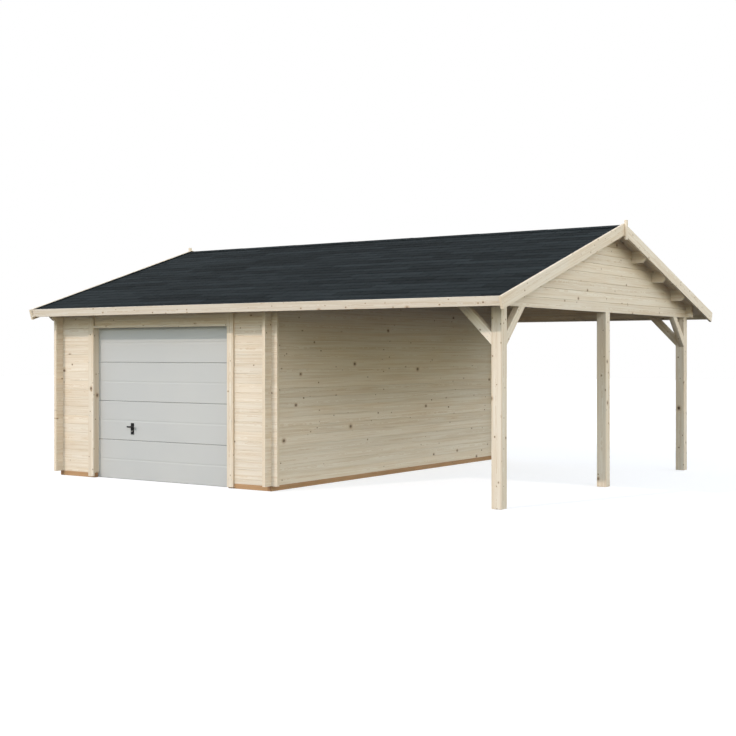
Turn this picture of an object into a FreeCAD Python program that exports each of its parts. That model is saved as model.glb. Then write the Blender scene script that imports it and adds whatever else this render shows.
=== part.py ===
import FreeCAD, Part
import math
import os

# A log garage with an open carport on its right, both under one gable roof.
# X runs along the ridge from the garage to the carport, Y from the door side to the back, Z up.
# The origin is on the ground, under the middle of the roof. Lengths are in millimetres.

# Plan
carport_width = 3040.0
wall_depth = 5410.0
left_verge = 150.0
right_verge = 220.0
eave_reach = 380.0

# Log walls
log_height = 114.0
log_thickness = 44.0
groove_depth = 3.0
groove_height = 9.0
courses_above_door = 2
side_log_reach = 117.0
front_log_reach = 86.0
corbel_reach = 200.0
corbel_drop = 66.0
corbel_bevel_depth = 62.0
corbel_bevel_height = 44.0
base_height = 60.0
base_width = 58.0

# Roof
roof_pitch = 17.65
roof_board_thickness = 19.0
covering_thickness = 6.0
ridge_cap_width = 250.0
ridge_cap_thickness = 4.0
purlin_width = 58.0
purlin_depth = 145.0
purlins_per_slope = 3
first_purlin_offset = 730.0
purlin_spacing = 678.0
purlin_end_bevel = 50.0
fascia_height = 95.0
fascia_thickness = 20.0
fascia_lift = 38.0
bargeboard_width = 134.0
bargeboard_thickness = 32.0
bargeboard_lift = 45.0
bargeboard_reach = 30.0
bargeboard_joint = 2.0
apex_batten_width = 45.0
apex_batten_thickness = 28.0
apex_batten_rise = 40.0
apex_batten_drop = 196.0

# Carport
post_size = 120.0
brace_width = 95.0
brace_thickness = 70.0
brace_reach = 407.0

# Sectional door
door_opening_width = 2281.0
door_opening_height = 1943.0
wall_left_of_door = 648.0
wall_right_of_door = 661.0
door_post_width = 95.0
door_post_proud = 28.0
door_post_back = 72.0
door_post_groove = 22.0
door_post_ground_gap = 15.0
door_head_thickness = 30.0
door_leaf_overlap = 47.0
door_leaf_thickness = 42.0
door_leaf_rise_behind_head = 57.0
door_section_count = 4
section_tongue_width = 18.0
section_tongue_height = 8.0
section_tongue_clearance = 0.3
section_edge_bevel = 6.0
section_rib_height = 26.0
section_rib_floor = 14.0
section_rib_depth = 1.5

# Door handle
handle_from_opening_left = 611.0
handle_spindle_height = 676.0
handle_plate_drop = 25.0
handle_plate_width = 52.0
handle_plate_height = 145.0
handle_plate_thickness = 8.0
handle_plate_bevel = 2.0
spindle_radius = 7.0
spindle_clearance = 0.3
spindle_seat_depth = 6.0
lever_collar_radius = 11.0
lever_collar_depth = 14.0
lever_collar_gap = 1.0
lever_standoff = 42.0
lever_bar_length = 118.0
lever_bar_height = 20.0
lever_bar_thickness = 12.0
lever_bar_bevel = 2.0

# Places worked out from the sizes above
garage_width = wall_left_of_door + door_opening_width + wall_right_of_door
roof_length = left_verge + garage_width + carport_width + right_verge
left_wall_x = -roof_length / 2 + left_verge
right_wall_x = left_wall_x + garage_width
post_line_x = right_wall_x + carport_width
half_depth = wall_depth / 2
door_courses = math.ceil((door_opening_height + door_head_thickness - base_height) / log_height)
front_wall_courses = door_courses + courses_above_door
wall_top = base_height + log_height * (front_wall_courses + 0.5)
slope = math.tan(math.radians(roof_pitch))
upright = 1 / math.cos(math.radians(roof_pitch))
ridge_height = wall_top + slope * (half_depth - log_thickness)
tie_height = base_height + log_height * (front_wall_courses - 1)
front_joint = base_height + log_height / 2
side_joint = base_height
roof_top_lift = roof_board_thickness + covering_thickness
roof_edge = half_depth + eave_reach - fascia_thickness
verge_inner_x = roof_length / 2 - bargeboard_thickness
door_left = left_wall_x + wall_left_of_door
door_right = door_left + door_opening_width
door_section_height = (door_opening_height + door_leaf_rise_behind_head) / door_section_count
front_face = -half_depth
leaf_front = front_face + door_post_back
handle_x = door_left + handle_from_opening_left
handle_plate_centre = handle_spindle_height - handle_plate_drop


def roof_height(y, lift=0.0):
    # Height of the plane that lies a distance lift above the underside of the roof boards.
    return ridge_height - slope * abs(y) + lift * upright


def block(x_range, y_range, z_range):
    corner = FreeCAD.Vector(x_range[0], y_range[0], z_range[0])
    length = x_range[1] - x_range[0]
    width = y_range[1] - y_range[0]
    height = z_range[1] - z_range[0]
    return Part.makeBox(length, width, height, corner)


def extruded(corners, travel):
    outline = Part.makePolygon(corners + corners[:1])
    return Part.Face(outline).extrude(travel)


def along_x(outline, x_range):
    # Outline points are (y, z).
    corners = [FreeCAD.Vector(x_range[0], y, z) for y, z in outline]
    return extruded(corners, FreeCAD.Vector(x_range[1] - x_range[0], 0, 0))


def along_y(outline, y_range):
    # Outline points are (x, z).
    corners = [FreeCAD.Vector(x, y_range[0], z) for x, z in outline]
    return extruded(corners, FreeCAD.Vector(0, y_range[1] - y_range[0], 0))


def mirrored_to_back(shape):
    return shape.mirror(FreeCAD.Vector(0, 0, 0), FreeCAD.Vector(0, 1, 0))


def log_profile(bottom, top, first_joint):
    # Cross-section of stacked logs as (across, z) points, with a V groove at each joint on both faces.
    joints = []
    joint = first_joint
    while joint < top - groove_height:
        if joint > bottom + groove_height:
            joints.append(joint)
        joint += log_height
    outer_side = [(0.0, bottom)]
    for joint in joints:
        outer_side.append((0.0, joint - groove_height / 2))
        outer_side.append((groove_depth, joint))
        outer_side.append((0.0, joint + groove_height / 2))
    outer_side.append((0.0, top))
    inner_side = [(log_thickness - across, height) for across, height in reversed(outer_side)]
    return outer_side + inner_side


def log_wall_along_x(x_range, y_low, bottom):
    # Logs laid along X. Their top is bevelled under the roof boards.
    highest = wall_top + log_height
    outline = [(y_low + across, z) for across, z in log_profile(bottom, highest, front_joint)]
    logs = along_x(outline, x_range)
    return logs.common(along_x(space_under_roof(bottom), x_range))


def space_under_roof(bottom):
    # Outline of everything between a height and the roof boards, as deep as the walls.
    front_half = [(0.0, ridge_height), (-half_depth, roof_height(half_depth)), (-half_depth, bottom)]
    return symmetric_outline(front_half)


def log_wall_along_y(x_low, outline):
    # Logs laid along Y and cut to an outline of (y, z) points.
    length = half_depth + corbel_reach
    bottom = min(z for y, z in outline)
    profile = [(x_low + across, z) for across, z in log_profile(bottom, ridge_height, side_joint)]
    logs = along_y(profile, (-length, length))
    return logs.common(along_x(outline, (x_low, x_low + log_thickness)))


def symmetric_outline(front_half):
    # Adds the mirrored back half to points that run from the ridge down the front to the bottom.
    back_half = [(-y, z) for y, z in reversed(front_half) if y != 0.0]
    return front_half + back_half


def plain_gable_outline():
    reach = half_depth + side_log_reach
    return symmetric_outline([(0.0, ridge_height), (-reach, roof_height(reach)), (-reach, base_height)])


def corbelled_gable_outline():
    # The log ends step out near the eaves to carry the roof's edge.
    foot = half_depth + side_log_reach
    tip = half_depth + corbel_reach
    step = tie_height - corbel_drop
    front_half = [(0.0, ridge_height), (-tip, roof_height(tip)), (-tip, step + corbel_bevel_height)]
    front_half += [(-tip + corbel_bevel_depth, step), (-foot, step), (-foot, base_height)]
    return symmetric_outline(front_half)


def carport_gable_outline():
    tip = half_depth + corbel_reach
    front_half = [(0.0, ridge_height), (-tip, roof_height(tip)), (-tip, tie_height + corbel_bevel_height)]
    front_half += [(-tip + corbel_bevel_depth, tie_height)]
    return symmetric_outline(front_half)


def lap_bands(x_low, y_low):
    # Heights at which the logs along X pass through the column where two walls cross.
    # Each log keeps the middle half of its height there, and the other wall's logs fill the rest.
    quarter = log_height / 4
    column = ((x_low, x_low + log_thickness), (y_low, y_low + log_thickness))
    bands = [block(column[0], column[1], (base_height, base_height + quarter))]
    for course in range(front_wall_courses):
        low = front_joint + course * log_height + quarter
        bands.append(block(column[0], column[1], (low, low + 2 * quarter)))
    through = Part.makeCompound(bands)
    whole = block(column[0], column[1], (base_height, ridge_height))
    return through, whole.cut(through)


def ridge_purlin():
    half = purlin_width / 2
    low = ridge_height - purlin_depth
    front_half = [(0.0, ridge_height), (-half, roof_height(half)), (-half, low)]
    beam = along_x(symmetric_outline(front_half), (-verge_inner_x, verge_inner_x))
    return beam.cut(purlin_end_cuts(low, -half, half))


def slope_purlin(index):
    # A front purlin, with its top bevelled to the roof's pitch.
    near_ridge = first_purlin_offset + index * purlin_spacing
    far_side = near_ridge + purlin_width
    low = roof_height(near_ridge) - purlin_depth
    outline = [(-near_ridge, roof_height(near_ridge)), (-far_side, roof_height(far_side))]
    outline += [(-far_side, low), (-near_ridge, low)]
    beam = along_x(outline, (-verge_inner_x, verge_inner_x))
    return beam.cut(purlin_end_cuts(low, -far_side, -near_ridge))


def purlin_end_cuts(low, y_low, y_high):
    # Wedges that take off the lower corner at both ends of a purlin.
    right = [(verge_inner_x - purlin_end_bevel, low), (verge_inner_x, low)]
    right += [(verge_inner_x, low + purlin_end_bevel)]
    left = [(-x, z) for x, z in right]
    return Part.makeCompound([along_y(right, (y_low, y_high)), along_y(left, (y_low, y_high))])


def roof_layer(low_lift, high_lift, lower_edge):
    # The front half of one layer of the roof, with plumb edges.
    outline = [(0.0, roof_height(0.0, low_lift)), (0.0, roof_height(0.0, high_lift))]
    outline += [(-lower_edge, roof_height(lower_edge, high_lift))]
    outline += [(-lower_edge, roof_height(lower_edge, low_lift))]
    return along_x(outline, (-verge_inner_x, verge_inner_x))


def ridge_cap():
    half = ridge_cap_width / 2
    high = roof_top_lift + ridge_cap_thickness
    outline = [(-half, roof_height(half, roof_top_lift)), (0.0, roof_height(0.0, roof_top_lift))]
    outline += [(half, roof_height(half, roof_top_lift)), (half, roof_height(half, high))]
    outline += [(0.0, roof_height(0.0, high)), (-half, roof_height(half, high))]
    return along_x(outline, (-verge_inner_x, verge_inner_x))


def fascia():
    # The front eave board. Its top edge follows the roof's pitch.
    outer = half_depth + eave_reach
    bottom = roof_height(outer, fascia_lift) - fascia_height
    outline = [(-outer, bottom), (-outer, roof_height(outer, fascia_lift))]
    outline += [(-roof_edge, roof_height(roof_edge, fascia_lift)), (-roof_edge, bottom)]
    return along_x(outline, (-verge_inner_x, verge_inner_x))


def bargeboard(x_low):
    # The front half of a gable's sloping edge board, cut square at the eave and plumb at the ridge.
    tip = half_depth + eave_reach + bargeboard_reach
    middle = bargeboard_joint / 2
    low_lift = bargeboard_lift - bargeboard_width
    tip_height = roof_height(tip, bargeboard_lift)
    square_run = bargeboard_width * slope / upright
    square_drop = bargeboard_width / upright
    outline = [(-middle, roof_height(middle, low_lift)), (-middle, roof_height(middle, bargeboard_lift))]
    outline += [(-tip, tip_height), (-tip + square_run, tip_height - square_drop)]
    return along_x(outline, (x_low, x_low + bargeboard_thickness))


def apex_batten(x_low):
    # An upright batten over the joint of a gable's two edge boards.
    half = apex_batten_width / 2
    crown = roof_height(0.0, bargeboard_lift)
    rise = (crown - apex_batten_drop, crown + apex_batten_rise)
    return block((x_low, x_low + apex_batten_thickness), (-half, half), rise)


def post(y_low):
    return block((post_line_x - post_size, post_line_x), (y_low, y_low + post_size), (0.0, tie_height))


def brace_outline():
    # A 45 degree brace as (run, z) points, with run measured from the post's face.
    end_cut = brace_width * math.sqrt(2)
    foot = tie_height - brace_reach
    outer_side = [(0.0, foot), (brace_reach, tie_height)]
    inner_side = [(brace_reach - end_cut, tie_height), (0.0, foot + end_cut)]
    return outer_side + inner_side


def eave_brace():
    # From the front post along the eave, flush with the post's front face.
    face_x = post_line_x - post_size
    outline = [(face_x - run, z) for run, z in brace_outline()]
    return along_y(outline, (front_face, front_face + brace_thickness))


def gable_brace():
    # From the front post along the gable, flush with the post's outer face.
    face_y = front_face + post_size
    outline = [(face_y + run, z) for run, z in brace_outline()]
    return along_x(outline, (post_line_x - brace_thickness, post_line_x))


def door_post(x_low, wall_side_first):
    # An upright grooved on both sides for the log ends, lapped in front of the base beam.
    x_high = x_low + door_post_width
    back = leaf_front
    front = front_face - door_post_proud
    low = base_height
    outline = [(front, low), (front, roof_height(front)), (back, roof_height(back)), (back, low)]
    upright_piece = along_x(outline, (x_low, x_high))
    skirt = block((x_low, x_high), (front, front_face), (door_post_ground_gap, base_height))
    upright_piece = upright_piece.fuse(skirt).removeSplitter()
    log_band = (front_face, front_face + log_thickness)
    wall_groove = (x_low, x_low + door_post_groove)
    head_groove = (x_high - door_post_groove, x_high)
    if not wall_side_first:
        wall_groove, head_groove = head_groove, wall_groove
    header_bottom = door_opening_height + door_head_thickness
    cuts = [block(wall_groove, log_band, (base_height, ridge_height))]
    cuts.append(block(head_groove, log_band, (header_bottom, ridge_height)))
    return upright_piece.cut(Part.makeCompound(cuts))


def door_section(index):
    # One insulated panel: bevelled edges, a shallow rib at mid height, a tongue above and a groove below.
    low = index * door_section_height
    high = low + door_section_height
    middle = (low + high) / 2
    half_rib = section_rib_height / 2
    half_floor = section_rib_floor / 2
    back = leaf_front + door_leaf_thickness
    tongue_front = leaf_front + (door_leaf_thickness - section_tongue_width) / 2
    tongue_back = tongue_front + section_tongue_width
    outline = [(leaf_front + section_edge_bevel, low), (leaf_front, low + section_edge_bevel)]
    outline += [(leaf_front, middle - half_rib), (leaf_front + section_rib_depth, middle - half_floor)]
    outline += [(leaf_front + section_rib_depth, middle + half_floor), (leaf_front, middle + half_rib)]
    outline += [(leaf_front, high - section_edge_bevel), (leaf_front + section_edge_bevel, high)]
    if index < door_section_count - 1:
        outline += [(tongue_front, high), (tongue_front, high + section_tongue_height)]
        outline += [(tongue_back, high + section_tongue_height), (tongue_back, high)]
    outline += [(back, high), (back, low)]
    if index > 0:
        gap = section_tongue_clearance
        groove_top = low + section_tongue_height + gap
        outline += [(tongue_back + gap, low), (tongue_back + gap, groove_top)]
        outline += [(tongue_front - gap, groove_top), (tongue_front - gap, low)]
    return along_x(outline, (door_left - door_leaf_overlap, door_right + door_leaf_overlap))


def handle_plate():
    half = handle_plate_width / 2
    low = handle_plate_centre - handle_plate_height / 2
    face = leaf_front - handle_plate_thickness
    plate = block((handle_x - half, handle_x + half), (face, leaf_front), (low, low + handle_plate_height))
    front_edges = [edge for edge in plate.Edges if abs(edge.BoundBox.YMax - face) < 0.001]
    plate = plate.makeChamfer(handle_plate_bevel, front_edges)
    seat = Part.makeCylinder(spindle_radius + spindle_clearance, spindle_seat_depth,
                             FreeCAD.Vector(handle_x, face, handle_spindle_height), FreeCAD.Vector(0, 1, 0))
    return plate.cut(seat)


def lever():
    # A level bar on a spindle, with a collar in front of the plate.
    face = leaf_front - handle_plate_thickness
    inward = FreeCAD.Vector(0, 1, 0)
    bar_front = face - lever_standoff
    bar_back = bar_front + lever_bar_thickness
    spindle_end = face + spindle_seat_depth - spindle_clearance
    spindle_root = FreeCAD.Vector(handle_x, bar_back, handle_spindle_height)
    spindle = Part.makeCylinder(spindle_radius, spindle_end - bar_back, spindle_root, inward)
    collar_front = face - lever_collar_gap - lever_collar_depth
    collar_root = FreeCAD.Vector(handle_x, collar_front, handle_spindle_height)
    collar = Part.makeCylinder(lever_collar_radius, lever_collar_depth, collar_root, inward)
    return lever_bar(bar_front).fuse([spindle, collar]).removeSplitter()


def lever_bar(bar_front):
    # A level bar with round ends, centred on the spindle.
    end_radius = lever_bar_height / 2
    reach = lever_bar_length / 2
    straight = reach - end_radius

    def at(run, rise):
        return FreeCAD.Vector(handle_x + run, bar_front, handle_spindle_height + rise)

    left_end = Part.Arc(at(-straight, -end_radius), at(-reach, 0.0), at(-straight, end_radius))
    top_side = Part.LineSegment(at(-straight, end_radius), at(straight, end_radius))
    right_end = Part.Arc(at(straight, end_radius), at(reach, 0.0), at(straight, -end_radius))
    low_side = Part.LineSegment(at(straight, -end_radius), at(-straight, -end_radius))
    outline = Part.Wire([piece.toShape() for piece in (left_end, top_side, right_end, low_side)])
    bar = Part.Face(outline).extrude(FreeCAD.Vector(0, lever_bar_thickness, 0))
    front_edges = [edge for edge in bar.Edges if edge.BoundBox.YMax < bar_front + lever_bar_bevel]
    return bar.makeChamfer(lever_bar_bevel, front_edges)


def base_beams():
    # Treated beams under the garage walls. The projecting log ends overhang them.
    inner = half_depth - base_width
    whole_depth = (-half_depth, half_depth)
    rise = (0.0, base_height)
    left_beam = (left_wall_x, left_wall_x + base_width)
    right_beam = (right_wall_x - base_width, right_wall_x)
    left_part = block((left_beam[1], door_left), (-half_depth, -inner), rise)
    right_part = block((door_right, right_beam[0]), (-half_depth, -inner), rise)
    beams = {}
    beams["base_beam_left"] = block(left_beam, whole_depth, rise)
    beams["base_beam_right"] = block(right_beam, whole_depth, rise)
    beams["base_beam_back"] = block((left_beam[1], right_beam[0]), (inner, half_depth), rise)
    beams["base_beam_front"] = Part.makeCompound([left_part, right_part])
    return beams


def garage_walls(purlins):
    # Four log walls lapped at the corners. The side walls rise to the ridge, notched for the purlins.
    left_low = left_wall_x
    right_low = right_wall_x - log_thickness
    back_low = half_depth - log_thickness
    span = (left_wall_x - front_log_reach, right_wall_x + front_log_reach)
    left_end = door_left - door_post_width + door_post_groove
    right_end = door_right + door_post_width - door_post_groove
    front_left = log_wall_along_x((span[0], left_end), front_face, base_height)
    front_right = log_wall_along_x((right_end, span[1]), front_face, base_height)
    header_span = (door_left - door_post_groove, door_right + door_post_groove)
    header = log_wall_along_x(header_span, front_face, door_opening_height + door_head_thickness)
    back = log_wall_along_x(span, back_low, base_height)
    left = log_wall_along_y(left_low, corbelled_gable_outline()).cut(purlins)
    right = log_wall_along_y(right_low, plain_gable_outline()).cut(purlins)
    front_left_laps = lap_bands(left_low, front_face)
    front_right_laps = lap_bands(right_low, front_face)
    back_left_laps = lap_bands(left_low, back_low)
    back_right_laps = lap_bands(right_low, back_low)
    walls = {}
    walls["front_wall_left"] = front_left.cut(front_left_laps[1])
    walls["front_wall_right"] = front_right.cut(front_right_laps[1])
    walls["front_wall_header"] = header
    walls["back_wall"] = back.cut(back_left_laps[1]).cut(back_right_laps[1])
    walls["left_wall"] = left.cut(front_left_laps[0]).cut(back_left_laps[0])
    walls["right_wall"] = right.cut(front_right_laps[0]).cut(back_right_laps[0])
    return walls


def carport_frame(purlins):
    # Three posts, log beams along both eaves, a log gable over the posts and four braces.
    gable_x = post_line_x - log_thickness
    back_low = half_depth - log_thickness
    front_laps = lap_bands(gable_x, front_face)
    back_laps = lap_bands(gable_x, back_low)
    beam_span = (right_wall_x + front_log_reach, post_line_x + front_log_reach)
    frame = {}
    gable = log_wall_along_y(gable_x, carport_gable_outline()).cut(purlins)
    frame["carport_gable"] = gable.cut(front_laps[0]).cut(back_laps[0])
    front_beam = log_wall_along_x(beam_span, front_face, tie_height)
    back_beam = log_wall_along_x(beam_span, back_low, tie_height)
    frame["eave_beam_front"] = front_beam.cut(front_laps[1])
    frame["eave_beam_back"] = back_beam.cut(back_laps[1])
    frame["post_front"] = post(front_face)
    frame["post_middle"] = post(-post_size / 2)
    frame["post_back"] = mirrored_to_back(frame["post_front"])
    frame["brace_front_eave"] = eave_brace()
    frame["brace_front_gable"] = gable_brace()
    frame["brace_back_eave"] = mirrored_to_back(frame["brace_front_eave"])
    frame["brace_back_gable"] = mirrored_to_back(frame["brace_front_gable"])
    return frame


def roof_purlins():
    names = ["upper", "middle", "lower"]
    purlins = {"ridge_purlin": ridge_purlin()}
    for index in range(purlins_per_slope):
        front = slope_purlin(index)
        purlins["purlin_front_" + names[index]] = front
        purlins["purlin_back_" + names[index]] = mirrored_to_back(front)
    return purlins


def roof_cover():
    # Boards, covering, ridge cap and the edge boards round them.
    cover = {"ridge_cap": ridge_cap()}
    cover["roof_boards_front"] = roof_layer(0.0, roof_board_thickness, roof_edge)
    cover["roof_covering_front"] = roof_layer(roof_board_thickness, roof_top_lift, roof_edge)
    cover["fascia_front"] = fascia()
    cover["bargeboard_right_front"] = bargeboard(verge_inner_x)
    cover["bargeboard_left_front"] = bargeboard(-roof_length / 2)
    for name in list(cover):
        if name.endswith("_front"):
            cover[name.replace("_front", "_back")] = mirrored_to_back(cover[name])
    cover["apex_batten_right"] = apex_batten(roof_length / 2)
    cover["apex_batten_left"] = apex_batten(-roof_length / 2 - apex_batten_thickness)
    return cover


def garage_door():
    door = {}
    door["door_post_left"] = door_post(door_left - door_post_width, True)
    door["door_post_right"] = door_post(door_right, False)
    head_depth = (front_face - door_post_proud, leaf_front)
    head_band = (door_opening_height, door_opening_height + door_head_thickness)
    door["door_head"] = block((door_left, door_right), head_depth, head_band)
    for index in range(door_section_count):
        door["door_section_" + str(index + 1)] = door_section(index)
    door["door_handle_plate"] = handle_plate()
    door["door_lever"] = lever()
    return door


def build():
    purlins = roof_purlins()
    purlin_bundle = Part.makeCompound(list(purlins.values()))
    nodes = {}
    nodes.update(base_beams())
    nodes.update(garage_walls(purlin_bundle))
    nodes.update(carport_frame(purlin_bundle))
    nodes.update(purlins)
    nodes.update(roof_cover())
    nodes.update(garage_door())
    return nodes


os.makedirs("parts", exist_ok=True)
total_volume = 0.0
for name, shape in build().items():
    shape.exportStep("parts/" + name + ".step")
    total_volume += shape.Volume
    print(name, len(shape.Solids), shape.isValid(), round(shape.Volume / 1e9, 4))
print("cubic metres", round(total_volume / 1e9, 3))
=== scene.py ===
import math
import random

import bmesh
import bpy
from mathutils import Matrix, Vector


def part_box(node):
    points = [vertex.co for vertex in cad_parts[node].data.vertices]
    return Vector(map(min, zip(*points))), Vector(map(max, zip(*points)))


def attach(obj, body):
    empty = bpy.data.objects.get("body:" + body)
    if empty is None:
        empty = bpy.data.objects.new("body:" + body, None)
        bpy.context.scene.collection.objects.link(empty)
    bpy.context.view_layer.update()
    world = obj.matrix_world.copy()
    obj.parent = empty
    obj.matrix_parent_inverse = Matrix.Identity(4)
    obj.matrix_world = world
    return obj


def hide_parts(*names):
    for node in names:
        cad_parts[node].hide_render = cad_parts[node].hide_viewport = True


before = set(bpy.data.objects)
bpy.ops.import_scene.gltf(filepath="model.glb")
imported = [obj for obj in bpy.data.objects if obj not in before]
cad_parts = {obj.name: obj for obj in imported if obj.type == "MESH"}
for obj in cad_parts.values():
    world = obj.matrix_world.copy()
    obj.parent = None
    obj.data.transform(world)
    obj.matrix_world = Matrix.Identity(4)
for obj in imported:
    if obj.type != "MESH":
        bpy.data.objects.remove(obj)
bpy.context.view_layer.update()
scene = bpy.context.scene
random.seed(17)

xAxis = Vector((1, 0, 0))
yAxis = Vector((0, 1, 0))
zAxis = Vector((0, 0, 1))


# Small helpers for shader nodes

def blankMaterial(name):
    material = bpy.data.materials.new(name)
    material.use_nodes = True
    tree = material.node_tree
    tree.nodes.clear()
    output = tree.nodes.new("ShaderNodeOutputMaterial")
    return material, tree, output


def surfaceMaterial(name):
    material, tree, output = blankMaterial(name)
    shader = tree.nodes.new("ShaderNodeBsdfPrincipled")
    tree.links.new(shader.outputs[0], output.inputs[0])
    return material, tree, shader


def feed(tree, socket, value):
    if isinstance(value, bpy.types.NodeSocket):
        tree.links.new(value, socket)
    elif isinstance(value, tuple) and len(value) == 3 and socket.type == "RGBA":
        socket.default_value = (*value, 1)
    else:
        socket.default_value = value


def calc(tree, operation, first, second=0.0, third=0.0, clamp=False):
    node = tree.nodes.new("ShaderNodeMath")
    node.operation = operation
    node.use_clamp = clamp
    for socket, value in zip(node.inputs, (first, second, third)):
        feed(tree, socket, value)
    return node.outputs[0]


def scatter(tree, value, spread):
    # Turns 0 to 1 into half the spread on either side of zero.
    return calc(tree, "MULTIPLY_ADD", value, spread, -spread / 2)


def calcVector(tree, operation, first, second=(0.0, 0.0, 0.0)):
    node = tree.nodes.new("ShaderNodeVectorMath")
    node.operation = operation
    feed(tree, node.inputs[0], first)
    feed(tree, node.inputs[1], second)
    return node.outputs["Value"] if operation == "LENGTH" else node.outputs[0]


def blendColour(tree, factor, first, second, mode="MIX"):
    node = tree.nodes.new("ShaderNodeMix")
    node.data_type = "RGBA"
    node.blend_type = mode
    feed(tree, node.inputs[0], factor)
    feed(tree, node.inputs[6], first)
    feed(tree, node.inputs[7], second)
    return node.outputs[2]


def fade(tree, value, low, high, newLow=0.0, newHigh=1.0):
    node = tree.nodes.new("ShaderNodeMapRange")
    node.interpolation_type = "SMOOTHSTEP"
    for socket, number in zip(node.inputs, (value, low, high, newLow, newHigh)):
        feed(tree, socket, number)
    return node.outputs[0]


def cloud(tree, vector, scale, detail=2.0, roughness=0.5):
    node = tree.nodes.new("ShaderNodeTexNoise")
    feed(tree, node.inputs["Vector"], vector)
    node.inputs["Scale"].default_value = scale
    node.inputs["Detail"].default_value = detail
    node.inputs["Roughness"].default_value = roughness
    return node.outputs[0]


def bumpFrom(tree, shader, height, strength, distance):
    node = tree.nodes.new("ShaderNodeBump")
    node.inputs["Strength"].default_value = strength
    node.inputs["Distance"].default_value = distance
    feed(tree, node.inputs["Height"], height)
    tree.links.new(node.outputs[0], shader.inputs["Normal"])


def attribute(tree, name):
    node = tree.nodes.new("ShaderNodeAttribute")
    node.attribute_name = name
    return node.outputs["Vector"]


def split(tree, vector):
    node = tree.nodes.new("ShaderNodeSeparateXYZ")
    feed(tree, node.inputs[0], vector)
    return node.outputs


def together(tree, x, y, z):
    node = tree.nodes.new("ShaderNodeCombineXYZ")
    for socket, value in zip(node.inputs, (x, y, z)):
        feed(tree, socket, value)
    return node.outputs[0]


def stretched(tree, place, perMetre):
    # A place in the grain, scaled by one number along the piece and by another across it.
    return together(tree, calc(tree, "MULTIPLY", place[0], perMetre[0]),
                    calc(tree, "MULTIPLY", place[1], perMetre[1]),
                    calc(tree, "MULTIPLY", place[2], perMetre[1]))


def objectSpace(tree):
    return tree.nodes.new("ShaderNodeTexCoord").outputs["Object"]


# Sawn spruce: growth rings about each piece's own pith, streaks along the grain and knots.
# The attribute grain holds metres along and across the piece, knots holds a place on the face itself,
# and finish holds the piece's tone, end grain and warmth.

spruceLook = {
    "early": (0.815, 0.735, 0.615),
    "late": (0.60, 0.44, 0.27),
    "endGrain": (0.76, 0.65, 0.50),
    "knotRim": (0.44, 0.29, 0.16),
    "knotCore": (0.075, 0.048, 0.030),
    "reddish": (1.0, 0.93, 0.84),
    "ringSpacing": 0.0055,
    "ringStrength": 0.42,
    "slowPerMetre": (0.55, 2.0),  # changes along and across the grain
    "pithWander": 0.085,
    "dipsPerMetre": 0.8,
    "pithDip": 0.05,
    "fibreStretch": (1.6, 1.0),
    "fibreWaver": 0.010,
    "streaksPerMetre": (0.9, 46.0),
    "streakStrength": 0.40,
    "finePerMetre": (14.0, 900.0),
    "fineStrength": 0.10,
    "toneSpread": 0.09,
    "endShare": 0.75,
    "rimShare": 0.65,
    "knotChance": 0.5,
    "knotsPerMetre": (1.5, 6.5),
    "knotRagged": 0.006,
    "knotSize": (0.006, 0.015),  # smallest radius, and what the largest adds to it
    "knotPush": 0.018,  # how far a knot pushes the rings aside
    "pinChance": 0.16,
    "pinsPerMetre": (3.1, 9.5),
    "pinSize": (0.0042, 0.0036),
    "pinPush": 0.006,
    "roughness": 0.68,
    "bumpDepth": 0.0006,
}

# narrow boards show more small knots
boardLook = dict(spruceLook, knotChance=0.7, pinChance=0.9)

treatedLook = dict(spruceLook, early=(0.52, 0.31, 0.155), late=(0.34, 0.18, 0.08),
                   endGrain=(0.30, 0.16, 0.08), toneSpread=0.18, knotChance=0.75)


def knotLayer(tree, face, ragged, perMetre, chanceLimit, radii):
    # One scatter of round knots: how dark the core, the rim and the swirl round them are at each point.
    knotMap = together(tree, calc(tree, "MULTIPLY", face[0], perMetre[0]),
                       calc(tree, "MULTIPLY", face[1], perMetre[1]), 0.0)
    cells = tree.nodes.new("ShaderNodeTexVoronoi")
    cells.voronoi_dimensions = "2D"
    cells.inputs["Scale"].default_value = 1.0
    feed(tree, cells.inputs["Vector"], knotMap)
    offset = split(tree, calcVector(tree, "SUBTRACT", knotMap, cells.outputs["Position"]))
    chance, size, shade = split(tree, cells.outputs["Color"])
    reach = together(tree, calc(tree, "MULTIPLY", offset[0], 0.8 / perMetre[0]),
                     calc(tree, "DIVIDE", offset[1], perMetre[1]), 0.0)
    distance = calc(tree, "ADD", calcVector(tree, "LENGTH", reach), ragged)
    radius = calc(tree, "MULTIPLY_ADD", calc(tree, "POWER", size, 1.6), radii[1], radii[0])
    present = calc(tree, "LESS_THAN", chance, chanceLimit)
    relative = calc(tree, "DIVIDE", distance, radius)
    core = calc(tree, "MULTIPLY", fade(tree, relative, 0.6, 1.1, 1.0, 0.0), present)
    rim = calc(tree, "MULTIPLY", fade(tree, relative, 0.8, 2.4, 1.0, 0.0), present)
    swirl = calc(tree, "MULTIPLY", fade(tree, relative, 0.5, 5.0, 1.0, 0.0), present)
    return core, rim, swirl, shade


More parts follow.
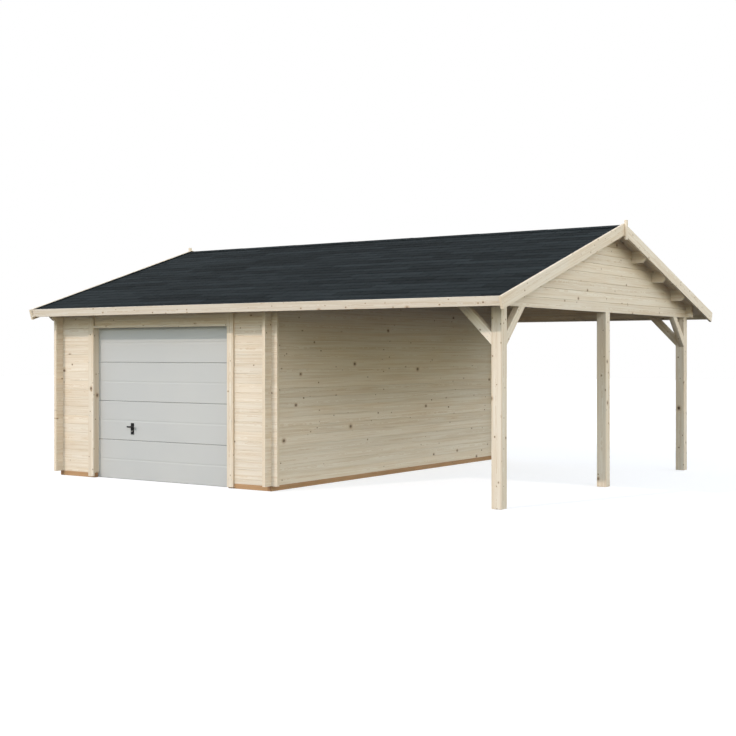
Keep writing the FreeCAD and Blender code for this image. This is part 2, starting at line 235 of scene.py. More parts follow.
def woodMaterial(name, look):
    material, tree, shader = surfaceMaterial(name)
    grain = attribute(tree, "grain")
    place = split(tree, grain)
    along, across, depth = place
    tone, endGrain, warmth = split(tree, attribute(tree, "finish"))

    # large knots, and pin knots a few millimetres wide
    face = split(tree, attribute(tree, "knots"))
    ragged = scatter(tree, cloud(tree, grain, 60.0, 2.0), look["knotRagged"])
    core, rim, swirl, shade = knotLayer(tree, face, ragged, look["knotsPerMetre"], look["knotChance"],
                                        look["knotSize"])
    pinRagged = calc(tree, "MULTIPLY", ragged, 0.5)
    pinCore, pinRim, pinSwirl, pinShade = knotLayer(tree, face, pinRagged, look["pinsPerMetre"],
                                                    look["pinChance"], look["pinSize"])

    # rings about a pith that wanders along the piece, pushed aside at the knots
    slow = stretched(tree, place, look["slowPerMetre"])
    wander = scatter(tree, cloud(tree, slow, 1.0, 2.0), look["pithWander"])
    dipMap = together(tree, calc(tree, "MULTIPLY", along, look["dipsPerMetre"]), 0.0, 7.3)
    dip = scatter(tree, cloud(tree, dipMap, 1.0, 1.0), look["pithDip"])
    ringRadius = calcVector(tree, "LENGTH", together(tree, calc(tree, "ADD", across, wander),
                                                     calc(tree, "ADD", depth, dip), 0.0))
    waver = cloud(tree, stretched(tree, place, look["fibreStretch"]), 8.0, 3.0)
    for push, amount in ((waver, look["fibreWaver"]), (swirl, look["knotPush"]),
                         (pinSwirl, look["pinPush"])):
        ringRadius = calc(tree, "MULTIPLY_ADD", push, amount, ringRadius)
    phase = calc(tree, "FRACT", calc(tree, "DIVIDE", ringRadius, look["ringSpacing"]))
    late = calc(tree, "POWER", phase, 2.2)
    late = calc(tree, "MULTIPLY", late, fade(tree, phase, 0.93, 1.0, 1.0, 0.0))

    # streaks a few centimetres wide and fine fibre
    streak = cloud(tree, stretched(tree, place, look["streaksPerMetre"]), 1.0, 3.0, 0.6)
    streak = fade(tree, streak, 0.36, 0.72)
    fine = cloud(tree, stretched(tree, place, look["finePerMetre"]), 1.0, 2.0)

    lateShare = calc(tree, "MULTIPLY", late, look["ringStrength"])
    lateShare = calc(tree, "MULTIPLY_ADD", streak, look["streakStrength"], lateShare)
    lateShare = calc(tree, "MULTIPLY_ADD", fine, look["fineStrength"], lateShare, clamp=True)
    colour = blendColour(tree, lateShare, look["early"], look["late"])
    patch = fade(tree, cloud(tree, slow, 2.3, 2.0), 0.35, 0.7)
    reddish = blendColour(tree, calc(tree, "MULTIPLY", patch, warmth), (1.0, 1.0, 1.0), look["reddish"])
    colour = blendColour(tree, 1.0, colour, reddish, "MULTIPLY")
    brightness = calc(tree, "MULTIPLY_ADD", tone, look["toneSpread"], 1.0 - look["toneSpread"])
    colour = blendColour(tree, 1.0, colour, together(tree, brightness, brightness, brightness), "MULTIPLY")
    ends = blendColour(tree, late, look["endGrain"], look["late"])
    colour = blendColour(tree, calc(tree, "MULTIPLY", endGrain, look["endShare"]), colour, ends)
    for knotShare, ringShare, darkness in ((core, rim, shade), (pinCore, pinRim, pinShade)):
        brown = calc(tree, "MULTIPLY", ringShare, look["rimShare"])
        colour = blendColour(tree, brown, colour, look["knotRim"])
        darkCore = calc(tree, "MULTIPLY", knotShare, calc(tree, "MULTIPLY_ADD", darkness, 0.4, 0.6))
        colour = blendColour(tree, darkCore, colour, look["knotCore"])
    tree.links.new(colour, shader.inputs["Base Color"])

    # late wood and knots are smoother, and late wood stands a little proud
    rough = calc(tree, "MULTIPLY_ADD", late, -0.08, look["roughness"])
    tree.links.new(calc(tree, "MULTIPLY_ADD", core, -0.15, rough), shader.inputs["Roughness"])
    shader.inputs["Specular IOR Level"].default_value = 0.3
    height = calc(tree, "MULTIPLY_ADD", late, 0.5, calc(tree, "MULTIPLY", fine, 0.6))
    bumpFrom(tree, shader, height, 0.35, look["bumpDepth"])
    return material


spruce = woodMaterial("spruce", spruceLook)
boardSpruce = woodMaterial("knotty spruce", boardLook)
treated = woodMaterial("treated wood", treatedLook)
print("wood materials made")


# Timber: each piece is a clean copy of its solid with eased edges, its own grain and its own tone

def cleanCopy(nodeName):
    shape = bmesh.new()
    shape.from_mesh(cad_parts[nodeName].data)
    bmesh.ops.remove_doubles(shape, verts=shape.verts, dist=0.00005)
    bmesh.ops.dissolve_limit(shape, angle_limit=math.radians(1), verts=shape.verts, edges=shape.edges)
    return shape


def keepBetween(shape, direction, low, high):
    # Cuts the shape to a band across direction and closes the cuts.
    for place, normal in ((low, -direction), (high, direction)):
        everything = shape.verts[:] + shape.edges[:] + shape.faces[:]
        cut = bmesh.ops.bisect_plane(shape, geom=everything, plane_co=direction * place,
                                     plane_no=normal, clear_outer=True)
        rim = [item for item in cut["geom_cut"] if isinstance(item, bmesh.types.BMEdge)]
        bmesh.ops.holes_fill(shape, edges=rim, sides=0)


def easeEdges(shape, offset, segments, chosen=None):
    edges = chosen or [edge for edge in shape.edges
                       if edge.is_manifold and edge.calc_face_angle(0.0) > math.radians(30)]
    bmesh.ops.bevel(shape, geom=edges, offset=offset, offset_type="OFFSET", segments=segments, profile=0.5,
                    affect="EDGES", clamp_overlap=True, material=-1)


def outerEnds(shape, direction):
    # The edges round the two end faces furthest along direction.
    reach = [vert.co.dot(direction) for vert in shape.verts]
    low, high = min(reach), max(reach)
    ends = []
    for face in shape.faces:
        place = face.calc_center_median().dot(direction)
        if abs(face.normal.dot(direction)) > 0.99 and min(place - low, high - place) < 0.001:
            ends.append(face)
    return [edge for edge in shape.edges if any(face in ends for face in edge.link_faces)]


knotShift = 3.7  # edges take their knots from another stretch than faces do


def newBatch():
    return {"mesh": bmesh.new(), "grain": [], "knots": [], "finish": []}


def addPiece(batch, shape, along, across, pith=(0.03, 0.07), warmth=0.6, tone=None):
    # Adds a shape with its own tone and warmth, and with rings about a pith off its middle.
    part = bpy.data.meshes.new("part")
    shape.normal_update()
    shape.to_mesh(part)
    shape.free()
    batch["mesh"].from_mesh(part)
    depth = along.cross(across)
    corners = [vert.co for vert in part.vertices]
    middle = sum(corners, Vector()) / len(corners)
    start = random.uniform(0, 40)
    side = random.uniform(-pith[0], pith[0])
    back = random.choice((-1, 1)) * random.uniform(0.4 * pith[1], pith[1])
    places = [((corner - middle).dot(along) + start, (corner - middle).dot(across) + side,
               (corner - middle).dot(depth) + back) for corner in corners]
    for place in places:
        batch["grain"] += place
    if tone is None:
        tone = random.random()
    warm = random.random() * warmth
    for face in part.polygons:
        endShare = 1.0 if abs(face.normal.dot(along)) > 0.7 else 0.0
        batch["finish"] += (tone, endShare, warm) * face.loop_total
        onEdge = abs(face.normal.dot(across)) > 0.7
        for index in face.vertices:
            place = places[index]
            batch["knots"] += (place[0] + knotShift, place[2], 0) if onEdge else (place[0], place[1], 0)
    bpy.data.meshes.remove(part)


def closeBatch(batch, name, material, replaced=()):
    mesh = bpy.data.meshes.new(name)
    batch["mesh"].to_mesh(mesh)
    batch["mesh"].free()
    mesh.attributes.new("grain", "FLOAT_VECTOR", "POINT").data.foreach_set("vector", batch["grain"])
    mesh.attributes.new("knots", "FLOAT_VECTOR", "CORNER").data.foreach_set("vector", batch["knots"])
    mesh.attributes.new("finish", "FLOAT_VECTOR", "CORNER").data.foreach_set("vector", batch["finish"])
    settle(mesh, name, material, replaced)


def settle(mesh, name, material, replaced=()):
    mesh.materials.append(material)
    piece = bpy.data.objects.new(name, mesh)
    scene.collection.objects.link(piece)
    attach(piece, "building")
    if replaced:
        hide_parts(*replaced)


# Log walls, cut from their solids into single logs with a fine gap at each joint

logs = {"height": 0.114, "gap": 0.0007, "endEase": 0.002, "coreShare": 0.3, "coreLength": 0.99}


def logWall(nodeName, along, firstJoint):
    low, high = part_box(nodeName)
    whole = cleanCopy(nodeName)
    batch = newBatch()
    joint = firstJoint
    while joint > low.z:
        joint -= logs["height"]
    while joint < high.z:
        log = whole.copy()
        bottom = max(low.z - logs["gap"], joint) + logs["gap"] / 2
        keepBetween(log, zAxis, bottom, joint + logs["height"] - logs["gap"] / 2)
        if len(log.faces) > 3:  # the band holds a piece of the wall
            easeEdges(log, logs["endEase"], 1, outerEnds(log, along))
            addPiece(batch, log, along, zAxis)
        joint += logs["height"]
    # the tongues: one thin core inside the logs closes the gaps
    across = zAxis.cross(along)
    middle = (low + high) / 2
    bmesh.ops.translate(whole, vec=-middle, verts=whole.verts)
    for direction, share in ((across, logs["coreShare"]), (along, logs["coreLength"])):
        shrink = Vector([1 - (1 - share) * abs(part) for part in direction])
        bmesh.ops.scale(whole, vec=shrink, verts=whole.verts)
    bmesh.ops.translate(whole, vec=middle, verts=whole.verts)
    addPiece(batch, whole, along, zAxis)
    closeBatch(batch, nodeName + "_logs", spruce, (nodeName,))


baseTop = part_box("base_beam_left")[1].z
sideJoint = baseTop
frontJoint = baseTop + logs["height"] / 2
for nodeName in ("front_wall_left", "front_wall_right", "front_wall_header", "back_wall",
                 "eave_beam_front", "eave_beam_back"):
    logWall(nodeName, xAxis, frontJoint)
for nodeName in ("left_wall", "right_wall", "carport_gable"):
    logWall(nodeName, yAxis, sideJoint)
print("log walls cut")


# Posts, braces, purlins, edge boards and door frame

timber = {
    "postEase": 0.004,
    "beamEase": 0.003,
    "boardEase": 0.002,
    "segments": 2,
    "fasciaTone": -1.7,  # darker than any random tone
}
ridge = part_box("roof_boards_front")[1]
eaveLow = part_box("roof_boards_front")[0]
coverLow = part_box("roof_covering_front")[0]
boardRise = coverLow.z - eaveLow.z
roofRun = -eaveLow.y
pitch = math.atan((ridge.z - boardRise - eaveLow.z) / roofRun)
boardDepth = boardRise * math.cos(pitch)
upSlope = {"front": Vector((0, math.cos(pitch), math.sin(pitch))),
           "back": Vector((0, -math.cos(pitch), math.sin(pitch)))}
leanIn = {"front": Vector((0, 1, 1)).normalized(), "back": Vector((0, -1, 1)).normalized()}


def singleTimber(nodeName, along, across, ease, material=boardSpruce,
                 pith=(0.03, 0.07), warmth=0.6, tone=None):
    batch = newBatch()
    shape = cleanCopy(nodeName)
    easeEdges(shape, ease, timber["segments"])
    addPiece(batch, shape, along, across, pith, warmth, tone)
    closeBatch(batch, nodeName + "_timber", material, (nodeName,))


for place in ("front", "middle", "back"):
    singleTimber("post_" + place, zAxis, xAxis, timber["postEase"], pith=(0.035, 0.05))
for place in ("front", "back"):
    singleTimber("brace_" + place + "_eave", Vector((-1, 0, 1)).normalized(), yAxis, timber["beamEase"])
    singleTimber("brace_" + place + "_gable", leanIn[place], xAxis, timber["beamEase"])
    for level in ("upper", "middle", "lower"):
        singleTimber("purlin_" + place + "_" + level, xAxis, zAxis, timber["beamEase"])
    singleTimber("fascia_" + place, xAxis, zAxis, timber["boardEase"], warmth=0.0,
                 tone=timber["fasciaTone"])
    for side in ("left", "right"):
        singleTimber("bargeboard_" + side + "_" + place, upSlope[place], xAxis.cross(upSlope[place]),
                     timber["boardEase"])
    side = "left" if place == "front" else "right"
    singleTimber("base_beam_" + side, yAxis, zAxis, timber["beamEase"], treated)
    singleTimber("base_beam_" + place, xAxis, zAxis, timber["beamEase"], treated)
singleTimber("ridge_purlin", xAxis, zAxis, timber["beamEase"])
for side in ("left", "right"):
    singleTimber("apex_batten_" + side, zAxis, yAxis, timber["boardEase"])
singleTimber("door_head", xAxis, yAxis, timber["boardEase"])
for side in ("left", "right"):
    singleTimber("door_post_" + side, zAxis, xAxis, timber["boardEase"])
print("timber dressed")


# Roof boards that run up the slope, with bevelled lower edges that meet in V joints

boards = {"width": 0.096, "bevel": 0.003, "gap": 0.0006}


def slopeMatrix(place):
    # Takes (x, run up the slope, height above the boards' underside) to its place on that slope.
    up = upSlope[place]
    out = up.cross(xAxis) if place == "back" else xAxis.cross(up)
    turn = Matrix((xAxis, up, out)).transposed().to_4x4()
    sign = -1 if place == "front" else 1
    return Matrix.Translation((0, sign * roofRun, eaveLow.z)) @ turn


def addBox(shape, size, centre):
    made = bmesh.ops.create_cube(shape, size=1)
    bmesh.ops.scale(shape, vec=size, verts=made["verts"])
    bmesh.ops.translate(shape, vec=centre, verts=made["verts"])


def layOnSlope(shape, place, centre):
    # Moves a finished slab, shingle or board from the origin to its place on that slope.
    bmesh.ops.translate(shape, vec=centre, verts=shape.verts)
    bmesh.ops.transform(shape, matrix=slopeMatrix(place), verts=shape.verts)
    bmesh.ops.recalc_face_normals(shape, faces=shape.faces)


slopeLength = roofRun / math.cos(pitch)
vergeX = ridge.x


def roofBoards(place):
    nodeName = "roof_boards_" + place
    count = round(2 * vergeX / boards["width"])
    width = 2 * vergeX / count
    batch = newBatch()
    for index in range(count):
        board = bmesh.new()
        bmesh.ops.create_cube(board, size=1)
        lower = [edge for edge in board.edges
                 if all(vert.co.z < 0 for vert in edge.verts) and edge.verts[0].co.x == edge.verts[1].co.x]
        bmesh.ops.scale(board, vec=(width - boards["gap"], slopeLength, boardDepth), verts=board.verts)
        bmesh.ops.bevel(board, geom=lower, offset=boards["bevel"], segments=1, profile=0.5,
                        affect="EDGES", material=-1)
        # plumb cuts at the ridge and at the eave
        lean = math.tan(pitch)
        for vert in board.verts:
            vert.co.y += vert.co.z * lean
        centre = (-vergeX + (index + 0.5) * width, (slopeLength + boardDepth * lean) / 2, boardDepth / 2)
        layOnSlope(board, place, centre)
        addPiece(batch, board, upSlope[place], xAxis)
    closeBatch(batch, nodeName + "_planks", spruce, (nodeName,))


for place in ("front", "back"):
    roofBoards(place)
print("roof boards laid")


# Bitumen shingles in courses, and folded caps along the ridge

shingles = {
    "tabWidth": 0.333,
    "slot": 0.006,
    "narrowest": 0.02,
    "stagger": 0.06,  # share of a tab by which courses stray sideways
    "exposure": 0.143,
    "overlap": 0.055,
    "thickness": 0.0030,
    "droop": 0.004,
    "lift": 0.0008,
    "underlay": 0.003,
    "underlayTone": 0.3,
    "upstandThickness": 0.006,
    "upstandHeight": 0.022,
    "upstandTone": 0.1,
    "edgeEase": 0.0009,
    "capLength": 1.0,
    "capHalfWidth": 0.125,
    "capThickness": 0.002,
    "capLap": 0.05,
    "capBend": 0.012,
    "tabsPerStrip": 3,
    "tabSpread": 0.22,
}

shingleLook = {
    "dark": (0.0026, 0.0050, 0.0060),
    "pale": (0.0228, 0.0300, 0.0325),
    "grit": (0.039, 0.048, 0.052),
    "toneShare": 0.50,
    "streakShare": 0.24,
    "bandShare": 0.14,
    "roughness": 0.92,
}


def shingleMaterial():
    material, tree, shader = surfaceMaterial("slate grey shingle")
    place = objectSpace(tree)
    tone = split(tree, attribute(tree, "finish"))[0]
    x, y = split(tree, place)[:2]
    bandMap = together(tree, calc(tree, "MULTIPLY", x, 1.1), calc(tree, "MULTIPLY", y, 4.2), 0.0)
    band = fade(tree, cloud(tree, bandMap, 1.0, 2.0, 0.5), 0.33, 0.66)
    longMap = together(tree, calc(tree, "MULTIPLY", x, 1.9), calc(tree, "MULTIPLY", y, 15.0), 4.0)
    streak = fade(tree, cloud(tree, longMap, 1.0, 4.0, 0.6), 0.34, 0.70)
    share = calc(tree, "MULTIPLY", tone, shingleLook["toneShare"])
    share = calc(tree, "MULTIPLY_ADD", streak, shingleLook["streakShare"], share)
    share = calc(tree, "MULTIPLY_ADD", band, shingleLook["bandShare"], share, clamp=True)
    colour = blendColour(tree, share, shingleLook["dark"], shingleLook["pale"])
    grains = cloud(tree, place, 900.0, 1.0)
    bright = calc(tree, "MULTIPLY", fade(tree, grains, 0.56, 0.70), 0.45)
    colour = blendColour(tree, bright, colour, shingleLook["grit"])
    tree.links.new(colour, shader.inputs["Base Color"])
    shader.inputs["Roughness"].default_value = shingleLook["roughness"]
    shader.inputs["Specular IOR Level"].default_value = 0.08
    bumpFrom(tree, shader, grains, 0.5, 0.0012)
    return material


shingle = shingleMaterial()


def shingleTab(width, length, thickness):
    shape = bmesh.new()
    addBox(shape, (width, length, thickness), (0, 0, 0))
    top = [edge for edge in shape.edges if all(vert.co.z > 0 for vert in edge.verts)]
    bmesh.ops.bevel(shape, geom=top, offset=shingles["edgeEase"], segments=1, profile=0.5, affect="EDGES",
                    material=-1)
    return shape


def shingleSlope(place):
    nodeName = "roof_covering_" + place
    batch = newBatch()
    sheet = bmesh.new()
    addBox(sheet, (2 * vergeX, slopeLength, shingles["underlay"]), (0, 0, 0))
    layOnSlope(sheet, place, (0, slopeLength / 2, boardDepth + shingles["underlay"] / 2))
    addPiece(batch, sheet, xAxis, upSlope[place], tone=shingles["underlayTone"])
    for side in (-1, 1):
        upstand = bmesh.new()
        size = (shingles["upstandThickness"], slopeLength, shingles["upstandHeight"])
        addBox(upstand, size, (0, 0, 0))
        centre = (side * (vergeX - size[0] / 2), slopeLength / 2, boardDepth + size[2] / 2)
        layOnSlope(upstand, place, centre)
        addPiece(batch, upstand, xAxis, upSlope[place], tone=shingles["upstandTone"])
    courses = math.ceil(slopeLength / shingles["exposure"])
    exposure = slopeLength / courses
    length = exposure + shingles["overlap"]
    tilt = math.asin(shingles["thickness"] / exposure)
    deck = boardDepth + shingles["underlay"]
    for course in range(courses):
        stray = random.uniform(0, shingles["stagger"])
        start = -vergeX - (0.5 * (course % 2) + stray) * shingles["tabWidth"]
        courseLength = min(length, slopeLength - course * exposure)
        tabNumber = random.randrange(shingles["tabsPerStrip"])
        stripTone = random.random()
        while start < vergeX:
            left = max(start, -vergeX)
            right = min(start + shingles["tabWidth"] - shingles["slot"], vergeX)
            start += shingles["tabWidth"]
            tabNumber += 1
            if tabNumber % shingles["tabsPerStrip"] == 0:
                stripTone = random.random()
            if right - left < shingles["narrowest"]:
                continue
            droop = random.uniform(0, shingles["droop"])
            shape = shingleTab(right - left, courseLength + droop, shingles["thickness"])
            turn = Matrix.Rotation(-tilt, 3, "X")
            bmesh.ops.rotate(shape, cent=(0, 0, 0), matrix=turn, verts=shape.verts)
            height = deck + shingles["thickness"] / 2 + math.sin(tilt) * courseLength / 2
            lift = random.uniform(0, shingles["lift"])
            centre = ((left + right) / 2, course * exposure + (courseLength - droop) / 2, height + lift)
            layOnSlope(shape, place, centre)
            tone = stripTone + random.uniform(-0.5, 0.5) * shingles["tabSpread"]
            addPiece(batch, shape, xAxis, upSlope[place], tone=tone)
    closeBatch(batch, nodeName + "_shingles", shingle, (nodeName,))


def ridgeCaps():
    batch = newBatch()
    count = math.ceil(2 * vergeX / shingles["capLength"])
    step = 2 * vergeX / count
    thickness = shingles["capThickness"]
    lift = boardDepth + shingles["underlay"] + 2 * shingles["thickness"]
    crown = ridge.z - boardRise + lift / math.cos(pitch)
    for index in range(count):
        cap = bmesh.new()
        bmesh.ops.create_grid(cap, x_segments=1, y_segments=6, size=0.5)
        reach = step if index == 0 else step + shingles["capLap"]
        bmesh.ops.scale(cap, vec=(reach, 2 * shingles["capHalfWidth"], 1), verts=cap.verts)
        for vert in cap.verts:
            fold = math.hypot(vert.co.y, shingles["capBend"]) - shingles["capBend"]
            vert.co.z = -math.tan(pitch) * fold
            if vert.co.x > 0:
                vert.co.z += thickness
        bmesh.ops.solidify(cap, geom=cap.faces[:], thickness=-thickness)
        right = -vergeX + (index + 1) * step
        bmesh.ops.translate(cap, vec=(right - reach / 2, 0, crown), verts=cap.verts)
        bmesh.ops.recalc_face_normals(cap, faces=cap.faces)
        addPiece(batch, cap, xAxis, yAxis)
    closeBatch(batch, "ridge_cap_shingles", shingle, ("ridge_cap",))


for place in ("front", "back"):
    shingleSlope(place)
ridgeCaps()
print("shingles laid")


# Sectional door: embossed satin steel, black fittings

doorLook = {"base": (0.520, 0.513, 0.485), "cast": (0.500, 0.497, 0.475), "roughness": 0.42, "ease": 0.001}

blackLook = {
    "dark": (0.005, 0.005, 0.006),
    "pale": (0.011, 0.011, 0.012),
    "specksPerMetre": 700.0,
    "metallic": 0.0,
    "roughness": 0.45,
    "specular": 0.3,
    "bumpStrength": 0.15,
    "bumpDepth": 0.0003,
}

# painted shade: a near-black look for the strips in the door's joints; the zinc look below starts from it
jointShadeLook = dict(blackLook, dark=(0.050, 0.050, 0.052), pale=(0.075, 0.075, 0.077), specksPerMetre=900.0,
                  roughness=0.75, specular=0.5, bumpStrength=0.1, bumpDepth=0.0002)

zincLook = dict(jointShadeLook, dark=(0.42, 0.41, 0.38), pale=(0.56, 0.55, 0.51), metallic=0.85,
                roughness=0.42)


def doorMaterial():
    material, tree, shader = surfaceMaterial("embossed steel")
    place = objectSpace(tree)
    x, _, z = split(tree, place)
    cast = fade(tree, cloud(tree, place, 1.3, 3.0), 0.3, 0.7)
    colour = blendColour(tree, cast, doorLook["base"], doorLook["cast"])
    tree.links.new(colour, shader.inputs["Base Color"])
    grainMap = together(tree, calc(tree, "MULTIPLY", x, 60.0), 0.0, calc(tree, "MULTIPLY", z, 520.0))
    emboss = cloud(tree, grainMap, 1.0, 3.0, 0.65)
    shader.inputs["Roughness"].default_value = doorLook["roughness"]
    bumpFrom(tree, shader, emboss, 0.35, 0.0007)
    return material


doorSteel = doorMaterial()
for number in range(1, 5):
    nodeName = "door_section_" + str(number)
    shape = cleanCopy(nodeName)
    easeEdges(shape, doorLook["ease"], 2)
    mesh = bpy.data.meshes.new(nodeName + "_panel")
    shape.to_mesh(mesh)
    shape.free()
    settle(mesh, nodeName + "_panel", doorSteel, (nodeName,))


def speckledMaterial(name, look):
    material, tree, shader = surfaceMaterial(name)
    speck = cloud(tree, objectSpace(tree), look["specksPerMetre"], 2.0)
    tree.links.new(blendColour(tree, speck, look["dark"], look["pale"]), shader.inputs["Base Color"])
    shader.inputs["Metallic"].default_value = look["metallic"]
    shader.inputs["Roughness"].default_value = look["roughness"]
    shader.inputs["Specular IOR Level"].default_value = look["specular"]
    bumpFrom(tree, shader, speck, look["bumpStrength"], look["bumpDepth"])
    return material


# black satin for the handle, also used as painted shade for the lock's key slot
blackSatinAndSlotShade = speckledMaterial("black satin", blackLook)
paintedJointShade = speckledMaterial("painted joint shade", jointShadeLook)
zincSteel = speckledMaterial("zinc steel", zincLook)
for nodeName in ("door_handle_plate", "door_lever"):
    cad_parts[nodeName].data.materials.clear()
    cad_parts[nodeName].data.materials.append(blackSatinAndSlotShade)


# Near-black strips deep in the joints between the door's panels, painted shade of those joints, and the
# lock's cylinder below the lever

jointShadeStrip = {"height": 0.003, "depth": 0.0025, "behindFace": 0.0040}
lock = {"radius": 0.0095, "proud": 0.009, "belowLever": 0.056}
# painted shade of the key slot: sizes of a thin black slab on the cylinder's face
slotShadeSize = {"height": 0.009, "width": 0.0022, "proud": 0.0003}

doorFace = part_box("door_section_1")[0].y


def addDisc(shape, radius, thickness, root, outward, segments=12):
    # A short cylinder that stands on root and points outward.
    made = bmesh.ops.create_cone(shape, cap_ends=True, segments=segments, radius1=radius,
                                 radius2=radius * 0.92, depth=thickness)
    turn = outward.to_track_quat("Z", "Y").to_matrix()
    bmesh.ops.rotate(shape, cent=(0, 0, 0), matrix=turn, verts=made["verts"])
    bmesh.ops.translate(shape, vec=root + outward * thickness / 2, verts=made["verts"])


def finishShape(shape, name, material):
    mesh = bpy.data.meshes.new(name)
    shape.to_mesh(mesh)
    shape.free()
    settle(mesh, name, material)


# painted shade of the door's joints: thin near-black strips just behind the panels' faces
jointShadeStrips = bmesh.new()
for number in range(2, 5):
    low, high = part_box("door_section_" + str(number))
    middle = Vector(((low.x + high.x) / 2, doorFace + jointShadeStrip["behindFace"] + jointShadeStrip["depth"] / 2, low.z))
    addBox(jointShadeStrips, (high.x - low.x, jointShadeStrip["depth"], jointShadeStrip["height"]), middle)
finishShape(jointShadeStrips, "door_joint_painted_shade", paintedJointShade)

plateLow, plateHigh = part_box("door_handle_plate")
leverLow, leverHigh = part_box("door_lever")
lockRoot = Vector(((plateLow.x + plateHigh.x) / 2, plateLow.y,
                   (leverLow.z + leverHigh.z) / 2 - lock["belowLever"]))
cylinder = bmesh.new()
addDisc(cylinder, lock["radius"], lock["proud"], lockRoot, -yAxis, 24)
finishShape(cylinder, "lock_cylinder", zincSteel)
# painted shade: a black slab proud of the cylinder stands for the shadowed key slot
slotShadeSlab = bmesh.new()
addBox(slotShadeSlab, (slotShadeSize["width"], 2 * slotShadeSize["proud"], slotShadeSize["height"]),
       lockRoot - yAxis * lock["proud"])
finishShape(slotShadeSlab, "lock_slot_painted_shade", blackSatinAndSlotShade)
print("door made")


# Screw heads where boards and braces are fixed

screws = {
    "radius": 0.0045,
    "proud": 0.0006,
    "pitch": 0.62,
    "inset": 0.024,
    "postEndInset": 0.096,
    "vergeLifts": (0.018, -0.052),  # heights above the boards' underside
    "braceCut": 0.134,
    "braceRow": 0.020,
    "braceShares": (0.1, 0.9),
}
heads = bmesh.new()


def screwHead(point, outward):
    addDisc(heads, screws["radius"], screws["proud"], point, outward)


def onSlope(place, x, y, lift):
    # A point at a height above the boards' underside, measured square to the slope.
    run = (roofRun - abs(y)) / math.cos(pitch) + lift * math.tan(pitch)
    return slopeMatrix(place) @ Vector((x, run, lift))


def outwardFrom(place):
    return -yAxis if place == "front" else yAxis


def vergeScrews(place):
    # Two through the bargeboard into each end of each purlin.
    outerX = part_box("bargeboard_right_front")[1].x
    for level in ("upper", "middle", "lower"):
        low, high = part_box("purlin_" + place + "_" + level)
        for side in (-1, 1):
            for lift in screws["vergeLifts"]:
                screwHead(onSlope(place, side * outerX, (low.y + high.y) / 2, lift), xAxis * side)


def fasciaScrews(place):
    low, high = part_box("fascia_" + place)
    face = low.y if place == "front" else high.y
    count = math.floor((high.x - low.x - 2 * screws["inset"]) / screws["pitch"])
    step = (high.x - low.x - 2 * screws["inset"]) / count
    for index in range(count + 1):
        for z in (low.z + screws["inset"], high.z - 2 * screws["inset"]):
            screwHead(Vector((low.x + screws["inset"] + index * step, face, z)), outwardFrom(place))


def doorPostScrews(side):
    low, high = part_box("door_post_" + side)
    count = math.floor((high.z - low.z) / screws["pitch"])
    step = (high.z - low.z - 2 * screws["postEndInset"]) / count
    for index in range(count + 1):
        z = low.z + screws["postEndInset"] + index * step
        for x in (low.x + screws["inset"], high.x - screws["inset"]):
            screwHead(Vector((x, low.y, z)), -yAxis)


def braceScrews(place, way):
    # Two at each end of a brace, side by side across its grain.
    low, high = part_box("brace_" + place + "_" + way)
    outward = outwardFrom(place)
    foot = Vector((high.x, low.y if place == "front" else high.y, low.z + screws["braceCut"] / 2))
    run = (-xAxis if way == "eave" else -outward) + zAxis
    reach = high.z - low.z - screws["braceCut"] / 2
    across = (run - 2 * zAxis).normalized() * screws["braceRow"]
    for share in screws["braceShares"]:
        for side in (-1, 1):
            screwHead(foot + run * reach * share + across * side, outward if way == "eave" else xAxis)


for place in ("front", "back"):
    vergeScrews(place)
    fasciaScrews(place)
for side in ("left", "right"):
    doorPostScrews(side)
for place in ("front", "back"):
    for way in ("eave", "gable"):
        braceScrews(place, way)
finishShape(heads, "screw_heads", zincSteel)
print("screws set")


# Stage, light and camera

stage = {
    "floorSize": 120.0,
    "floorBounce": (0.12, 0.12, 0.12),  # what the floor reflects onto the building
    "floorLift": (0.0, 0.0, 0.0),  # what it adds to that by itself
    "floorSeen": (0.40, 0.40, 0.40),  # the same two for the camera, so that the floor looks white
    "floorWhite": (0.68, 0.68, 0.68),
    "sunStrength": 1.39,
    "sunAngle": 0.8,
    "sunColour": (1.0, 0.856, 0.779),
    "sunTravel": (0.36, 1.0, -0.67),
    "lowSky": (1.45, 1.54, 1.14),
    "midSky": (2.15, 2.45, 2.89),
    "highSky": (0.25, 0.28, 0.33),
    "lowBand": (0.10, 0.30),  # where low sky turns into middle sky, as the sine of the height
    "highBand": (0.45, 0.75),
    "sideStrength": 0.5,
    "sideTravel": (-1.0, 0.20, -0.22),
    "sideAngle": 60.0,
    "sideColour": (1.0, 0.64, 0.15),
}


def glowingMatt(tree, matt, glow):
    plain = tree.nodes.new("ShaderNodeBsdfDiffuse")
    plain.inputs["Color"].default_value = (*matt, 1)
    light = tree.nodes.new("ShaderNodeEmission")
    light.inputs["Color"].default_value = (*glow, 1)
    both = tree.nodes.new("ShaderNodeAddShader")
    tree.links.new(plain.outputs[0], both.inputs[0])
    tree.links.new(light.outputs[0], both.inputs[1])
    return both.outputs[0]


def floorMaterial():
    material, tree, output = blankMaterial("pale floor")
    path = tree.nodes.new("ShaderNodeLightPath")
    choose = tree.nodes.new("ShaderNodeMixShader")
    tree.links.new(path.outputs["Is Camera Ray"], choose.inputs[0])
    tree.links.new(glowingMatt(tree, stage["floorBounce"], stage["floorLift"]), choose.inputs[1])
    tree.links.new(glowingMatt(tree, stage["floorSeen"], stage["floorWhite"]), choose.inputs[2])
    tree.links.new(choose.outputs[0], output.inputs[0])
    return material


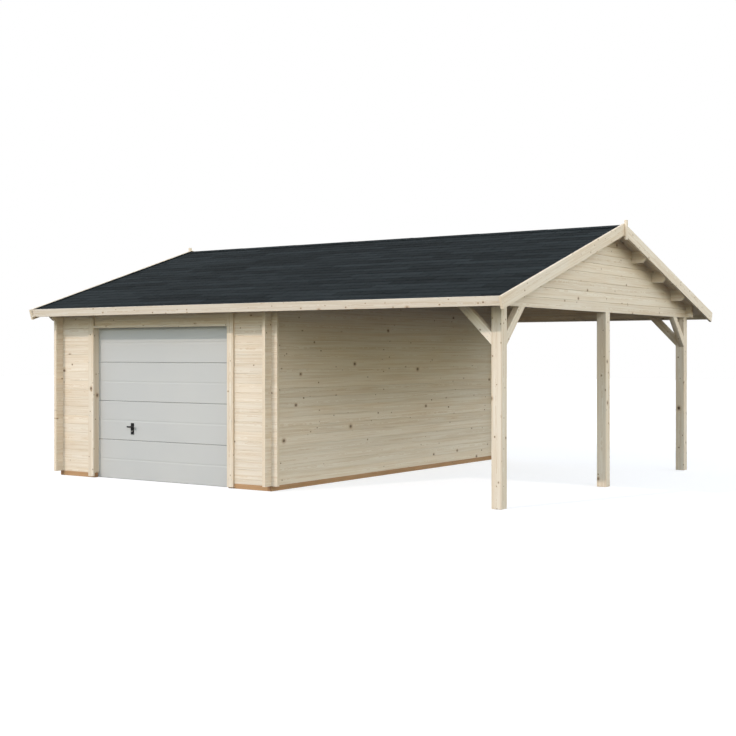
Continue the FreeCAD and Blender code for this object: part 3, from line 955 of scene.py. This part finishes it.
floorShape = bmesh.new()
bmesh.ops.create_grid(floorShape, x_segments=1, y_segments=1, size=stage["floorSize"] / 2)
bmesh.ops.translate(floorShape, vec=(0, 0, -0.001), verts=floorShape.verts)
floorMesh = bpy.data.meshes.new("floor")
floorShape.to_mesh(floorMesh)
floorShape.free()
floorMesh.materials.append(floorMaterial())
floor = bpy.data.objects.new("floor", floorMesh)
scene.collection.objects.link(floor)

# The sky that lights the building is soft, and what the camera sees of it is white
world = bpy.data.worlds.new("studio")
world.use_nodes = True
skyTree = world.node_tree
background = skyTree.nodes["Background"]
skyPath = skyTree.nodes.new("ShaderNodeLightPath")
clear = calc(skyTree, "MAXIMUM", skyPath.outputs["Is Camera Ray"], skyPath.outputs["Is Glossy Ray"])
clear = calc(skyTree, "MAXIMUM", clear, skyPath.outputs["Is Transmission Ray"])
upward = split(skyTree, skyTree.nodes.new("ShaderNodeTexCoord").outputs["Generated"])[2]
softSky = blendColour(skyTree, fade(skyTree, upward, *stage["lowBand"]), stage["lowSky"], stage["midSky"])
softSky = blendColour(skyTree, fade(skyTree, upward, *stage["highBand"]), softSky, stage["highSky"])
skyTree.links.new(blendColour(skyTree, clear, softSky, (1.0, 1.0, 1.0)), background.inputs["Color"])
scene.world = world


def farLight(name, strength, angle, colour, travel):
    data = bpy.data.lights.new(name, "SUN")
    data.energy = strength
    data.angle = math.radians(angle)
    data.color = colour
    lamp = bpy.data.objects.new(name, data)
    lamp.rotation_euler = Vector(travel).to_track_quat("-Z", "Y").to_euler()
    scene.collection.objects.link(lamp)


farLight("sun", stage["sunStrength"], stage["sunAngle"], stage["sunColour"], stage["sunTravel"])
farLight("side fill", stage["sideStrength"], stage["sideAngle"], stage["sideColour"], stage["sideTravel"])

# A level camera at eye height, in front of the carport's corner
shot = {"place": (9.4215, -14.118, 1.6134), "turn": 34.39, "lens": 61.06, "sensor": 36.0, "shift": -0.0196}

cameraData = bpy.data.cameras.new("camera")
cameraData.sensor_width = shot["sensor"]
cameraData.lens = shot["lens"]
cameraData.shift_y = shot["shift"]
cameraData.clip_end = 500.0
camera = bpy.data.objects.new("camera", cameraData)
camera.location = shot["place"]
camera.rotation_euler = (math.radians(90), 0, math.radians(shot["turn"]))
scene.collection.objects.link(camera)
scene.camera = camera
scene.view_settings.view_transform = "Standard"
print("stage set")
